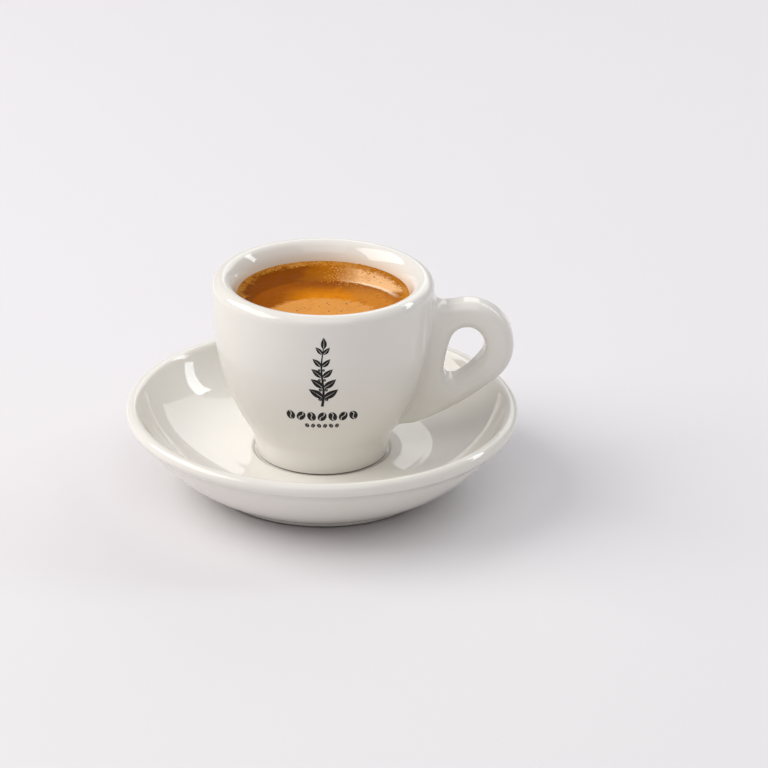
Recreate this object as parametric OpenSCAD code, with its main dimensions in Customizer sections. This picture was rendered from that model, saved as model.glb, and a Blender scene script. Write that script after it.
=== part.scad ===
// Espresso in a thick-walled porcelain cup on its saucer.
// Origin: on the table, at the middle of the saucer. The handle points along +X.

/* [Cup] */
// Outer diameter of the cup at its rim
cup_d = 66; // [55:1:80]
// Height of the cup, from its foot to the top of the rim
cup_h = 56; // [46:1:68]
// Diameter of the cup's foot
cup_foot_d = 39.6; // [33:0.1:48]
// Height of the upright foot, below the swelling of the belly
cup_foot_h = 6.3; // [4:0.1:8]
// Thickness of the rounded rim
rim_t = 5.8; // [4.5:0.1:7]
// Thickness of the wall, at the throat under the rim
cup_wall_t = 8.3; // [6.5:0.1:10]
// Thickness of the cup's floor
cup_floor_t = 6.8; // [4:0.1:9]
// Share of the way out from foot to rim that the belly has swelled by low down
belly_fullness = 0.79; // [0.6:0.01:0.9]

/* [Handle] */
// How far the handle reaches out past the rim
handle_reach = 24; // [20:0.5:30]
// Outer radius of the handle's loop
loop_r = 14; // [12:0.5:15.5]
// Height of the middle of the loop above the cup's foot
loop_z = 35.1; // [30:0.1:40]
// Width of the handle's band, across the loop
band_w = 8.5; // [7:0.1:10]
// Thickness of the handle, along Y
handle_t = 9.4; // [7:0.1:12]
// Radius of the tail, where the handle runs into the belly
tail_r = 5.8; // [4.5:0.1:7]
// Height of the middle of the tail above the cup's foot
tail_z = 15.1; // [13:0.1:18]
// Radius of the narrow lower end of the finger hole
hole_toe_r = 2.4; // [1.8:0.1:3]

/* [Espresso] */
// Depth of the coffee's surface below the top of the rim
fill_drop = 6; // [4.5:0.1:14]

/* [Saucer] */
// Outer diameter of the saucer
saucer_d = 118; // [104:1:142]
// Height of the saucer, from the table to the top of its lip
saucer_h = 25.3; // [22:0.1:30]
// Thickness of the rolled lip
lip_t = 4.2; // [3.4:0.1:5]
// Outer diameter of the saucer's foot ring
ring_d = 69; // [58:1:76]
// Width of the foot ring
ring_w = 3; // [2:0.1:5]
// Height of the saucer's underside above the table, inside the ring
base_z = 4.8; // [3:0.1:6]
// Thickness of the saucer's floor, under the cup
saucer_floor_t = 5.2; // [4:0.1:7]
// Depth of the well that the cup stands in
well_depth = 1; // [0.5:0.1:1.5]

/* [Fit] */
// Gap all round between the cup's foot and the edge of the well
well_gap = 1; // [0.5:0.1:2]

/* [Hidden] */
$fn = 120;

cup_r = cup_d / 2;
cup_foot_r = cup_foot_d / 2;
cup_z = base_z + saucer_floor_t;     // the cup stands on the floor of the well
level_z = cup_h - fill_drop;         // the coffee's surface, above the cup's foot
saucer_r = saucer_d / 2;
ring_r = ring_d / 2;
well_r = cup_foot_r + well_gap;

edge_r = 0.8;                        // rounding of the edges of both feet
foot_recess = 1.5;                   // the cup's underside is hollowed by this much
foot_ring_w = 3.4;                   // width of the ring that the cup stands on
rim_turn = 140;                      // the angle at which the rim's round gives way to the bowl
throat_drop = 13;                    // from the top of the rim to the throat of the bowl
hole_r = loop_r - band_w;            // the finger hole, at its widest
steps = 14;                          // points along each curve
arc_step = 10;                       // degrees between the points of an arc

// A Bezier curve from a to d, pulled towards b and then c
function curve(a, b, c, d) = [
    for (i = [0:steps])
        let (t = i / steps, u = 1 - t)
        u*u*u * a + 3*u*u*t * b + 3*u*t*t * c + t*t*t * d
];

// An arc about the point c, from the angle a0 to the angle a1
function arc(c, r, a0, a1) = [
    for (a = [a0:(a1 > a0 ? arc_step : -arc_step):a1]) c + r * [cos(a), sin(a)]
];

// ---- Cup: half sections as [radius, height above the cup's foot] ----

rim_c = [cup_r - rim_t / 2, cup_h - rim_t / 2];
rim_in = rim_c + rim_t / 2 * [cos(rim_turn), sin(rim_turn)];
belly_lo = [cup_foot_r + 2.4, cup_foot_h + 3];
belly_pull = [
    belly_lo.x + belly_fullness * (cup_r - belly_lo.x),
    belly_lo.y + 0.3 * (rim_c.y - belly_lo.y)
];
throat = [cup_r - cup_wall_t, cup_h - throat_drop];

// The bowl, from the inside of the rim down to the middle of its floor
bowl_line = concat(
    curve(rim_in, rim_in + 4 * [-sin(rim_turn), cos(rim_turn)], throat + [0, 5.5], throat),
    curve(
        throat,
        throat - [0, 0.4 * (throat.y - cup_floor_t)],
        [0.77 * throat.x, cup_floor_t],
        [0, cup_floor_t]
    )
);

// The outside, from the foot up to the rim
outer_line = concat(
    arc([cup_foot_r - edge_r, edge_r], edge_r, -90, 0),
    curve(
        [cup_foot_r, edge_r + 0.4],
        [cup_foot_r + 0.5, cup_foot_h - 1.6],
        belly_lo - 0.17 * (belly_pull - belly_lo),
        belly_lo
    ),
    curve(belly_lo, belly_pull, [cup_r, belly_lo.y + 0.59 * (rim_c.y - belly_lo.y)], [cup_r, rim_c.y]),
    arc(rim_c, rim_t / 2, arc_step, rim_turn - arc_step)
);

// The cup without its bowl: the outline is closed across the rim
module cup_block() {
    underside = [
        [0, foot_recess],
        [cup_foot_r - foot_ring_w - foot_recess, foot_recess],
        [cup_foot_r - foot_ring_w, 0]
    ];
    rotate_extrude() polygon(concat(underside, outer_line, [rim_in, [0, rim_in.y]]));
}

// The bowl's space, up past the rim
module bowl() {
    rotate_extrude() polygon(concat([[0, cup_h], [rim_in.x, cup_h]], bowl_line));
}

// ---- Handle: a closed loop of rounded sections, each in a plane that holds the Y axis ----

// The outer outline and the hole's are each the taut line round three circles [x, z, radius],
// listed clockwise from the upper left. The outer one's left side lies inside the cup's wall.
loop_x = cup_r + handle_reach - loop_r;
root_r = 2;                          // the handle's upper root, whose middle is sunk in the wall
root_sink = 2.5;                     // by this much
root_rise = 11.3;                    // from the middle of the loop up to the root
tail_out = 6.2;                      // from the foot's edge out to the middle of the tail
toe = [loop_x - 4.5, loop_z - 8.6];  // middle of the hole's narrow lower end
handle_outline = [
    [cup_r - root_sink, loop_z + root_rise, root_r],
    [loop_x, loop_z, loop_r],
    [cup_foot_r + tail_out, tail_z, tail_r]
];
finger_hole = [
    [loop_x - 0.1, loop_z + 0.2, hole_r - 0.5],
    [loop_x + 0.2, loop_z - 0.5, hole_r - 0.1],
    [toe.x, toe.y, hole_toe_r]
];

// Direction of the normal of the straight line that runs clockwise from circle p to circle q
function taut_angle(p, q) =
    let (d = [q.x - p.x, q.y - p.y])
    atan2(d.y, d.x) + acos((p.z - q.z) / norm(d));

// The taut line as points: an arc on each circle, then evenly spaced points to the next
function taut_line(circles, arc_n = 14, line_n = 7) = [
    for (k = [0:2])
        let (
            before = circles[(k + 2) % 3],
            here = circles[k],
            after = circles[(k + 1) % 3],
            a_in = taut_angle(before, here),
            a_out = taut_angle(here, after),
            turn = ((a_in - a_out) % 360 + 360) % 360,
            leave = [here.x, here.y] + here.z * [cos(a_out), sin(a_out)],
            reach = [after.x, after.y] + after.z * [cos(a_out), sin(a_out)]
        )
        each concat(
            [for (i = [0:arc_n])
                let (a = a_out + turn * (1 - i / arc_n))
                [here.x, here.y] + here.z * [cos(a), sin(a)]],
            [for (i = [1:line_n]) leave + (reach - leave) * i / (line_n + 1)]
        )
];

// A power that keeps its sign, which squares up a round section
function soft(v, power) = sign(v) * pow(abs(v), power);

module handle() {
    squareness = 0.72;
    sides = 18;
    outline = taut_line(handle_outline);
    hole = taut_line(finger_hole);
    rings = len(outline);
    points = [
        for (i = [0:rings - 1])
            let (middle = (outline[i] + hole[i]) / 2, half = (outline[i] - hole[i]) / 2)
            for (j = [0:sides - 1])
                let (
                    a = 360 * j / sides,
                    p = middle + half * soft(cos(a), squareness)
                )
                [p.x, handle_t / 2 * soft(sin(a), squareness), p.y]
    ];
    function at(i, j) = (i % rings) * sides + j % sides;
    faces = [
        for (i = [0:rings - 1], j = [0:sides - 1])
            each [
                [at(i, j), at(i + 1, j + 1), at(i + 1, j)],
                [at(i, j), at(i, j + 1), at(i + 1, j + 1)]
            ]
    ];
    polyhedron(points, faces, convexity = 4);
}

module cup() {
    color("ivory") translate([0, 0, cup_z]) difference() {
        union() {
            cup_block();
            handle();
        }
        bowl();
    }
}

// ---- Espresso: what the bowl holds up to the level ----

module espresso() {
    color("peru") translate([0, 0, cup_z]) rotate_extrude() intersection() {
        polygon(concat(bowl_line, [[0, cup_h]]));
        square([cup_r, level_z]);
    }
}

// ---- Saucer: half section as [radius, height above the table] ----

lip_turn = 150;                      // the angle at which the lip's roll gives way to the dish
lip_start = -50;                     // and the one at which it meets the underside
lip_c = [saucer_r - lip_t / 2, saucer_h - lip_t / 2];
lip_in = lip_c + lip_t / 2 * [cos(lip_turn), sin(lip_turn)];
lip_under = lip_c + lip_t / 2 * [cos(lip_start), sin(lip_start)];
floor_z = cup_z + well_depth;        // the dish's floor, round the well
flank_foot = [ring_r + 1.9, 1.9];    // the underside runs from here, just above the foot ring,
crease = [saucer_r - 3.8, saucer_h - 6.6];    // to the crease under the lip
foot_slope = [1, 0.49];              // direction in which it leaves the foot
crease_slope = [0.55, 0.83];         // and in which it reaches the crease

underside_line = concat(
    [[0, base_z], [ring_r - ring_w - 1.2, base_z]],
    arc([ring_r - ring_w + edge_r, edge_r], edge_r, 180, 270),
    arc([ring_r - edge_r, edge_r], edge_r, -90, 0),
    curve(
        flank_foot,
        flank_foot + 0.4 * (crease.x - flank_foot.x) * foot_slope,
        crease - 0.54 * (crease.y - flank_foot.y) * crease_slope,
        crease
    ),
    curve(
        crease,
        crease + 1.2 * crease_slope,
        lip_under + 1.6 * [sin(lip_start), -cos(lip_start)],
        lip_under
    )
);

inside_line = concat(
    arc(lip_c, lip_t / 2, lip_start + arc_step, lip_turn - arc_step),
    curve(
        lip_in,
        lip_in + 9 * [-sin(lip_turn), cos(lip_turn)],
        [lip_in.x - 11, floor_z + 1.6],
        [well_r + 13.2, floor_z + 0.6]
    ),
    curve(
        [well_r + 9, floor_z + 0.3],
        [well_r + 4, floor_z + 0.05],
        [well_r + 0.6, floor_z],
        [well_r, floor_z - 0.5 * well_depth]
    ),
    [[well_r - 0.3, cup_z], [0, cup_z]]
);

module saucer() {
    color("ivory") rotate_extrude() polygon(concat(underside_line, inside_line));
}

saucer();
cup();
espresso();
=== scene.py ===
# %% [markdown]
# # An espresso in its cup and saucer
# A double espresso under its crema, in a thick-walled cup of glazed porcelain with a loop handle,
# standing in the shallow well of a deep saucer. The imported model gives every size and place; this
# script makes what the eye sees: the glaze, the soft joint of the handle, the foam and the print.

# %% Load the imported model
import math

import bpy
import numpy as np
from mathutils import Euler, Matrix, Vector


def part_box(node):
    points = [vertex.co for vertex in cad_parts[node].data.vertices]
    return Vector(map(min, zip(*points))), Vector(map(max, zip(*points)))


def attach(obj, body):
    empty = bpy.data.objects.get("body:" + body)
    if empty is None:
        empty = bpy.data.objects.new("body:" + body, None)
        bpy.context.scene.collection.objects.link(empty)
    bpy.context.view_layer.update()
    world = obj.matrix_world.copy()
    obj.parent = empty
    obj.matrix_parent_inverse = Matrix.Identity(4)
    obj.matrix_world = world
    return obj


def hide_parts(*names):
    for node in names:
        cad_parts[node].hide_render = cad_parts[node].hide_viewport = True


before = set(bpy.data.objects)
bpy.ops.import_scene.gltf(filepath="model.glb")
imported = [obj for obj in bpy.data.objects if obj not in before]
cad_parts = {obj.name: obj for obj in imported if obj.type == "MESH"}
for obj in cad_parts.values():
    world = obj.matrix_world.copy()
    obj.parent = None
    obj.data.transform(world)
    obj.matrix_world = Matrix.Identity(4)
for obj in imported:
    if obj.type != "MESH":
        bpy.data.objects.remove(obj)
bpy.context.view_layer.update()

# %% [markdown]
# ## Sizes
# Porcelain is drawn in millimetres, so every size here is in millimetres too, and becomes metres only
# when a mesh is made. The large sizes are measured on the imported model, so the script follows it.
# The smaller ones, such as the thickness of the rim, are those of the turned forms themselves.

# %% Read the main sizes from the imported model
MM = 0.001


def box_mm(node):
    """Lowest and highest corner of a node, in millimetres, to a hundredth."""
    return [np.round(np.array(corner) / MM, 2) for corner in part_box(node)]


saucer_high = box_mm("saucer")[1]
cup_low, cup_high = box_mm("cup")
coffee_low, coffee_high = box_mm("espresso")

saucer_r = saucer_high[0]
saucer_h = saucer_high[2]
cup_r = -cup_low[0]
cup_z = cup_low[2]                 # the cup stands at this height, on the floor of the saucer's well
rim_top = cup_high[2]
handle_end = cup_high[0]
level = coffee_high[2]             # height of the coffee's surface
bowl_floor = coffee_low[2]

print(f"saucer {2 * saucer_r} x {saucer_h}, cup {2 * cup_r} x {rim_top - cup_z}, level {level}")

# %% [markdown]
# ## The camera
# The camera comes first, because everything is judged through it. A long lens far away keeps the
# ellipses of the rim and the lip nearly alike, as in a studio picture of tableware. The small shift
# moves the cup to the left of the middle without turning the camera. A tripod is never quite level,
# so the camera also leans to the side, by half a degree.

# %% Set up the camera
CAMERA_DISTANCE = 983.3
CAMERA_ELEVATION = math.radians(24.46)
LENS = 153.2
AIM_HEIGHT = 24.6
CAMERA_SHIFT = (0.0804, 0.0254)
CAMERA_ROLL = math.radians(0.48)
SENSOR_W = 36.0
NEAREST, FARTHEST = 0.05, 20.0     # in metres; what lies outside isn't rendered

camera_data = bpy.data.cameras.new("camera")
camera_data.lens = LENS
camera_data.sensor_width = SENSOR_W
camera_data.shift_x, camera_data.shift_y = CAMERA_SHIFT
camera_data.clip_start, camera_data.clip_end = NEAREST, FARTHEST
camera = bpy.data.objects.new("camera", camera_data)
camera.location = (
    0.0,
    -CAMERA_DISTANCE * math.cos(CAMERA_ELEVATION) * MM,
    (AIM_HEIGHT + CAMERA_DISTANCE * math.sin(CAMERA_ELEVATION)) * MM,
)
level_view = Euler((math.pi / 2 - CAMERA_ELEVATION, 0.0, 0.0)).to_matrix()
camera.rotation_euler = (level_view @ Matrix.Rotation(CAMERA_ROLL, 3, "Z")).to_euler()
bpy.context.scene.collection.objects.link(camera)
bpy.context.scene.camera = camera
bpy.context.scene.view_settings.view_transform = "Standard"
print("camera at", [round(v, 3) for v in camera.location])

# %% [markdown]
# ## Node trees as sentences
# Both materials and Geometry Nodes are trees of nodes joined by links. Written out one call at a time
# they are long and hard to read, so two small classes help. A `Board` adds a node to a tree from its
# type, its settings and what goes into its sockets. A `Wire` is an output, and because it knows the
# signs + - * /, a formula on the page turns into Math nodes.

# %% Two helpers for node trees


def fill_ramp(ramp, stops):
    """Gives a colour ramp these (position, colour) stops."""
    while len(ramp.elements) < len(stops):
        ramp.elements.new(0.5)
    for element, (position, colour) in zip(ramp.elements, stops):
        element.position = position
        element.color = colour


class Wire:
    """An output socket that can be reckoned with."""

    def __init__(self, board, socket):
        self.board = board
        self.socket = socket

    def beside(self, name):
        """Another output of the same node."""
        return Wire(self.board, self.socket.node.outputs[name])

    def maths(self, operation, *others, clamp=False):
        """This value and others, put through one Math node."""
        settings = {"operation": operation, "use_clamp": clamp}
        return self.board.node("ShaderNodeMath", settings, dict(enumerate((self, *others))))

    def __add__(self, other):
        return self.maths("ADD", other)

    __radd__ = __add__

    def __mul__(self, other):
        return self.maths("MULTIPLY", other)

    __rmul__ = __mul__

    def __sub__(self, other):
        return self.maths("SUBTRACT", other)

    def __rsub__(self, other):
        return (self * -1.0) + other

    def __truediv__(self, other):
        return self.maths("DIVIDE", other)

    def clamped(self):
        """The value, held between 0 and 1."""
        return self.maths("ADD", 0.0, clamp=True)

    def ramp(self, low, high):
        """0 where the value is at low, 1 where it is at high, smooth between."""
        settings = {"interpolation_type": "SMOOTHSTEP"}
        sockets = {"Value": self, "From Min": low, "From Max": high}
        return self.board.node("ShaderNodeMapRange", settings, sockets)


class Board:
    """A node tree, and the one way of adding nodes to it."""

    def __init__(self, tree):
        self.tree = tree

    def node(self, kind, settings=None, sockets=None, out=0):
        """Adds a node: first its settings, then a value or a wire for each named socket."""
        node = self.tree.nodes.new(kind)
        for name, value in (settings or {}).items():
            if name == "stops":
                fill_ramp(node.color_ramp, value)
            else:
                setattr(node, name, value)
        for name, value in (sockets or {}).items():
            if isinstance(value, Wire):
                self.tree.links.new(value.socket, node.inputs[name])
            else:
                node.inputs[name].default_value = value
        return Wire(self, node.outputs[out]) if len(node.outputs) else None

    def mix(self, share, first, second):
        """A colour between two, by a share from 0 to 1."""
        sockets = {0: share, 6: first, 7: second}
        return self.node("ShaderNodeMix", {"data_type": "RGBA"}, sockets, out=2)

    def noise(self, place, size_mm, detail=2.0, roughness=0.5, distortion=0.0):
        """Noise from 0 to 1, whose lumps are about this many millimetres apart."""
        sockets = {
            "Vector": place,
            "Scale": 1.0 / (size_mm * MM),
            "Detail": detail,
            "Roughness": roughness,
            "Distortion": distortion,
        }
        return self.node("ShaderNodeTexNoise", {}, sockets)


print("helpers ready")

# %% [markdown]
# ## Glazed porcelain
# Glaze is a thin coat of glass over a fired clay body. The body is a warm white; the glass gives sharp
# reflections that waver a little, because it ran before it set. One Principled BSDF shows both: a
# pale warm Base Color, a low Roughness, and a Bump of two noises, a broad one for the run of the
# glaze and a fine one for its faint orange peel. The ring that a piece stands on is wiped bare
# before firing, so there the clay is dull. Its colour is painted dark as well, as the shade where the
# foot meets what it stands on: from the side it shows as a thin line.
# In the cup, the drink has left a faint film of its oils on the wall just over it.

# %% Make the porcelain materials
GLAZE_COLOUR = (0.82, 0.79, 0.74, 1.0)
GLAZE_THIN = (0.795, 0.765, 0.705, 1.0)
# painted shade: the bare foot is made this dark as the shade where it meets what it stands on
BARE_CLAY_AND_CONTACT_SHADE = (0.17, 0.14, 0.11, 1.0)
SPECK = (0.30, 0.22, 0.15, 1.0)
COFFEE_FILM = (0.70, 0.52, 0.33, 1.0)
POOLS_APART, RUNS_APART, PEEL_APART = 38.0, 17.0, 1.6
GLAZE_RELIEF = 0.02                # depth of the glaze's unevenness
GLAZE_ENDS = (0.6, 0.4)            # glaze gives way to bare clay between these heights over the foot
SPECKS_APART, SPECK_EDGE = 13.0, (0.014, 0.008)
FILM_TOP, FILM_FOOT = (4.5, -0.5), (-3.0, -1.0)  # where the film fades, from the drink's level up
BOWL_SIDE = (30.5, 29.0)           # the film is only on the inside of the wall


def new_material(name):
    """An empty material and the Board for its tree."""
    material = bpy.data.materials.new(name)
    material.use_nodes = True
    material.node_tree.nodes.clear()
    return material, Board(material.node_tree)


def close_material(board, sockets):
    """Ends a material with a Principled BSDF fed by these sockets."""
    shader = board.node("ShaderNodeBsdfPrincipled", {}, sockets)
    board.node("ShaderNodeOutputMaterial", {}, {"Surface": shader})


def make_porcelain(name, foot_z, tide_z=None):
    """Glazed porcelain, unglazed and painted dark as contact shade on its foot at this height, stained
    just above a drink at tide_z.
    """

    def mm_ramp(wire, limits, base=0.0):
        """A ramp between two limits in millimetres, reckoned from a base."""
        return wire.ramp((base + limits[0]) * MM, (base + limits[1]) * MM)

    material, board = new_material(name)
    place = board.node("ShaderNodeTexCoord", out="Object")
    height = board.node("ShaderNodeSeparateXYZ", {}, {0: place}, out="Z")
    bare_and_shaded = mm_ramp(height, GLAZE_ENDS, foot_z)
    pooled = board.noise(place, POOLS_APART, detail=1.0)
    colour = board.mix(pooled.ramp(0.35, 0.7), GLAZE_COLOUR, GLAZE_THIN)
    cells = {"Vector": place, "Scale": 1.0 / (SPECKS_APART * MM)}
    speck = board.node("ShaderNodeTexVoronoi", {}, cells).ramp(*SPECK_EDGE) * 0.6
    colour = board.mix(speck, colour, SPECK)
    # painted shade: the foot ring is darkened as contact shade; its roughness below is that of bare clay
    colour = board.mix(bare_and_shaded, colour, BARE_CLAY_AND_CONTACT_SHADE)
    if tide_z is not None:
        x = board.node("ShaderNodeSeparateXYZ", {}, {0: place})
        y = x.beside("Y")
        in_bowl = mm_ramp((x * x + y * y).maths("POWER", 0.5), BOWL_SIDE)
        film = mm_ramp(height, FILM_TOP, tide_z) * mm_ramp(height, FILM_FOOT, tide_z) * in_bowl
        colour = board.mix(film * 0.6, colour, COFFEE_FILM)
    run = board.noise(place, RUNS_APART, detail=1.0)
    peel = board.noise(place, PEEL_APART, detail=1.0)
    relief = board.node("ShaderNodeBump", {}, {
        "Strength": 1.0,
        "Distance": GLAZE_RELIEF * MM,
        "Height": run * 1.2 + peel * 0.015,
    })
    close_material(board, {
        "Base Color": colour,
        "Roughness": pooled * 0.02 + bare_and_shaded * 0.5 + 0.02,
        "IOR": 1.52,
        "Normal": relief,
    })
    return material


glaze_of_saucer = make_porcelain("glaze_of_saucer", 0.0)
glaze_of_cup = make_porcelain("glaze_of_cup", cup_z, tide_z=level)
print("porcelain:", glaze_of_saucer.name, glaze_of_cup.name)

# %% [markdown]
# ## Lines to turn
# A potter checks a turned form against a template, its half section. The template is drawn here with
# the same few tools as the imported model's: Bezier curves and arcs between named points. Fired glaze
# has no sharp corners, so the finished line is softened by a narrow moving average.

# %% Drawing tools for half sections


def curve(a, b, c, d, steps=24):
    """A Bezier curve from a to d, pulled towards b and then c."""
    t = np.linspace(0.0, 1.0, steps + 1)[:, None]
    u = 1.0 - t
    a, b, c, d = (np.array(p, float) for p in (a, b, c, d))
    return u**3 * a + 3 * u * u * t * b + 3 * u * t * t * c + t**3 * d


def arc(centre, radius, start, end, step=5.0):
    """An arc about the centre, from one angle to the other, in degrees."""
    count = int(round(abs(end - start) / step)) + 1
    angles = np.radians(np.linspace(start, end, count))
    return np.array(centre) + radius * np.stack([np.cos(angles), np.sin(angles)], axis=1)


def toward(angle):
    """The direction at an angle in degrees."""
    return np.array([math.cos(math.radians(angle)), math.sin(math.radians(angle))])


def lengths_along(line):
    """How far along the line each of its points is."""
    return np.concatenate([[0.0], np.cumsum(np.linalg.norm(np.diff(line, axis=0), axis=1))])


def sample(line, along, where):
    """Points of the line at these distances along it."""
    return np.stack([np.interp(where, along, line[:, k]) for k in range(line.shape[1])], axis=1)


def soften(line, step=0.2, softness=0.3):
    """Evenly spaced points on a half section, its corners rounded as glaze rounds them."""
    along = lengths_along(line)
    keep = np.concatenate([[True], np.diff(along) > 1e-5])
    line, along = line[keep], along[keep]
    fine = sample(line, along, np.linspace(0.0, along[-1], int(along[-1] / step) + 1))
    reach = int(3 * softness / step)
    weights = np.exp(-0.5 * (np.arange(-reach, reach + 1) * step / softness) ** 2)
    weights /= weights.sum()
    mirrored = np.array([-1.0, 1.0])  # past the axis the section goes on, turned about
    padded = np.concatenate([
        fine[reach:0:-1] * mirrored,
        fine,
        fine[-2:-reach - 2:-1] * mirrored,
    ])
    soft = np.stack([np.convolve(padded[:, k], weights, "valid") for k in (0, 1)], axis=1)
    soft[[0, -1], 0] = 0.0
    return soft


def spread(line, count, bend_reach=4.0):
    """Fewer points on a fine line: close together where it bends, wide apart where it is straight."""
    heading = np.unwrap(np.arctan2(*np.diff(line, axis=0).T[::-1]))
    turning = np.abs(np.gradient(heading))
    cost = lengths_along(line) + bend_reach * np.concatenate([[0.0], np.cumsum(turning)])
    chosen = sample(line, cost, np.linspace(0.0, cost[-1], count))
    chosen[[0, -1], 0] = 0.0
    return chosen


print("drawing tools ready")

# %% [markdown]
# ## The saucer's half section
# The saucer is deep, like a soup plate in small: a foot ring under a level floor, a wide flank that
# rises to a crease, and over the crease a round rolled lip. Inside, the dish runs down in one sweep
# to a level floor with a shallow well that keeps the cup in the middle.

# %% Draw the saucer's half section
LIP_T = 4.2
RING_R, RING_W = 34.5, 3.0
BASE_Z = 4.8
WELL_R, WELL_DEPTH = 20.8, 1.0
FOOT_EDGE = 0.8
LIP_START, LIP_TURN = -50.0, 150.0
CREASE_IN, CREASE_DOWN = 3.8, 6.6  # the crease, measured inwards and down from the lip
RING_H = 1.5                       # the foot ring's outer wall is upright up to here
GROOVE = (RING_R + 0.15, 1.8)      # a fine groove parts the ring from the flank
FLANK_START = (RING_R + 1.6, 2.1)


def saucer_section():
    """The saucer's half section as [radius, height], from the axis below to the axis above."""
    lip = np.array([saucer_r - LIP_T / 2, saucer_h - LIP_T / 2])
    lip_in = lip + LIP_T / 2 * toward(LIP_TURN)
    lip_under = lip + LIP_T / 2 * toward(LIP_START)
    crease = np.array([saucer_r - CREASE_IN, saucer_h - CREASE_DOWN])
    flank = np.array(FLANK_START)
    foot_slope, crease_slope = np.array([1.0, 0.49]), np.array([0.55, 0.83])
    floor_z = cup_z + WELL_DEPTH
    return np.concatenate([
        [[0.0, BASE_Z], [RING_R - RING_W - 1.2, BASE_Z]],
        arc([RING_R - RING_W + FOOT_EDGE, FOOT_EDGE], FOOT_EDGE, 180, 270),
        arc([RING_R - FOOT_EDGE, FOOT_EDGE], FOOT_EDGE, -90, 0),
        [[RING_R, RING_H], GROOVE],
        curve(
            flank,
            flank + 0.4 * (crease[0] - flank[0]) * foot_slope,
            crease - 0.54 * (crease[1] - flank[1]) * crease_slope,
            crease,
        ),
        curve(
            crease,
            crease + 1.2 * crease_slope,
            lip_under + 1.6 * toward(LIP_START - 90) * -1,
            lip_under,
        ),
        arc(lip, LIP_T / 2, LIP_START, LIP_TURN),
        curve(
            lip_in,
            lip_in + 9 * toward(LIP_TURN + 90),
            [lip_in[0] - 11, floor_z + 1.6],
            [WELL_R + 13.2, floor_z + 0.6],
        ),
        curve(
            [WELL_R + 9, floor_z + 0.3],
            [WELL_R + 4, floor_z + 0.05],
            [WELL_R + 0.6, floor_z],
            [WELL_R, floor_z - 0.5 * WELL_DEPTH],
        ),
        [[WELL_R - 0.3, cup_z], [0.0, cup_z]],
    ])


saucer_line = soften(saucer_section())
print("saucer section:", len(saucer_line), "points, widest", round(saucer_line[:, 0].max(), 2))

# %% [markdown]
# ## Turning a section into a solid
# A lathe form follows a rule, so Geometry Nodes make it: a grid has one row of points for each point of
# the section and one column for each step round the axis. Each grid point looks up its section point
# by its row and is turned about Z by its column. Merging by distance closes the seam and the poles.
# The Screw modifier could do the same, but it leaves doubled points at the poles.

# %% Build the turning tree


def new_growth(name, inputs):
    """A Geometry Nodes tree with named inputs, its Board, and its inputs as wires."""
    tree = bpy.data.node_groups.new(name, "GeometryNodeTree")
    tree.interface.new_socket("Geometry", in_out="INPUT", socket_type="NodeSocketGeometry")
    for label, kind in inputs.items():
        tree.interface.new_socket(label, in_out="INPUT", socket_type="NodeSocket" + kind)
    tree.interface.new_socket("Geometry", in_out="OUTPUT", socket_type="NodeSocketGeometry")
    board = Board(tree)
    start = board.node("NodeGroupInput")
    wires = {label: start.beside(label) for label in ("Geometry", *inputs)}
    return tree, board, wires


def close_growth(board, geometry, material):
    """Ends a tree: instances made real, material set, result put out."""
    real = board.node("GeometryNodeRealizeInstances", {}, {"Geometry": geometry})
    painted = board.node("GeometryNodeSetMaterial", {}, {"Geometry": real, "Material": material})
    board.node("NodeGroupOutput", {}, {"Geometry": painted})


def grow(name, mesh, tree, values):
    """Runs a tree on a mesh and keeps the result as a plain mesh object."""
    carrier = bpy.data.objects.new(name + "_carrier", mesh)
    bpy.context.scene.collection.objects.link(carrier)
    modifier = carrier.modifiers.new("growth", "NODES")
    modifier.node_group = tree
    for item in tree.interface.items_tree:
        if item.in_out == "INPUT" and item.name in values:
            modifier[item.identifier] = values[item.name]
    graph = bpy.context.evaluated_depsgraph_get()
    grown = bpy.data.meshes.new_from_object(
        carrier.evaluated_get(graph), preserve_all_data_layers=True, depsgraph=graph
    )
    bpy.data.objects.remove(carrier)
    grown.name = name
    piece = bpy.data.objects.new(name, grown)
    bpy.context.scene.collection.objects.link(piece)
    return piece


def turning_tree():
    """A tree that turns a half section about Z."""
    tree, board, given = new_growth("turned_form", {"Turns": "Int", "Material": "Material"})
    count = board.node(
        "GeometryNodeAttributeDomainSize", {"component": "MESH"}, {"Geometry": given["Geometry"]}
    )
    grid = board.node("GeometryNodeMeshGrid", {}, {
        "Vertices X": given["Turns"] + 1.0,
        "Vertices Y": count,
    })
    index = board.node("GeometryNodeInputIndex")
    row = board.node("FunctionNodeIntegerMath", {"operation": "MODULO"}, {0: index, 1: count})
    column = board.node("FunctionNodeIntegerMath", {"operation": "DIVIDE_FLOOR"}, {0: index, 1: count})
    template = board.node(
        "GeometryNodeSampleIndex",
        {"data_type": "FLOAT_VECTOR", "domain": "POINT"},
        {"Geometry": given["Geometry"], "Value": board.node("GeometryNodeInputPosition"), "Index": row},
    )
    turned = board.node("ShaderNodeVectorRotate", {"rotation_type": "Z_AXIS"}, {
        "Vector": template,
        "Angle": column * (2 * math.pi) / given["Turns"],
    })
    shaped = board.node("GeometryNodeSetPosition", {}, {"Geometry": grid, "Position": turned})
    closed = board.node("GeometryNodeMergeByDistance", {}, {"Geometry": shaped, "Distance": 1e-6})
    smooth = board.node("GeometryNodeSetShadeSmooth", {}, {"Geometry": closed})
    close_growth(board, smooth, given["Material"])
    return tree


def section_mesh(line):
    """A half section as a mesh of points joined in a row, in metres, in the plane of X and Z."""
    mesh = bpy.data.meshes.new("half_section")
    points = [(r * MM, 0.0, z * MM) for r, z in line]
    mesh.from_pydata(points, [(i, i + 1) for i in range(len(points) - 1)], [])
    return mesh


turned_form = turning_tree()


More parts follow.
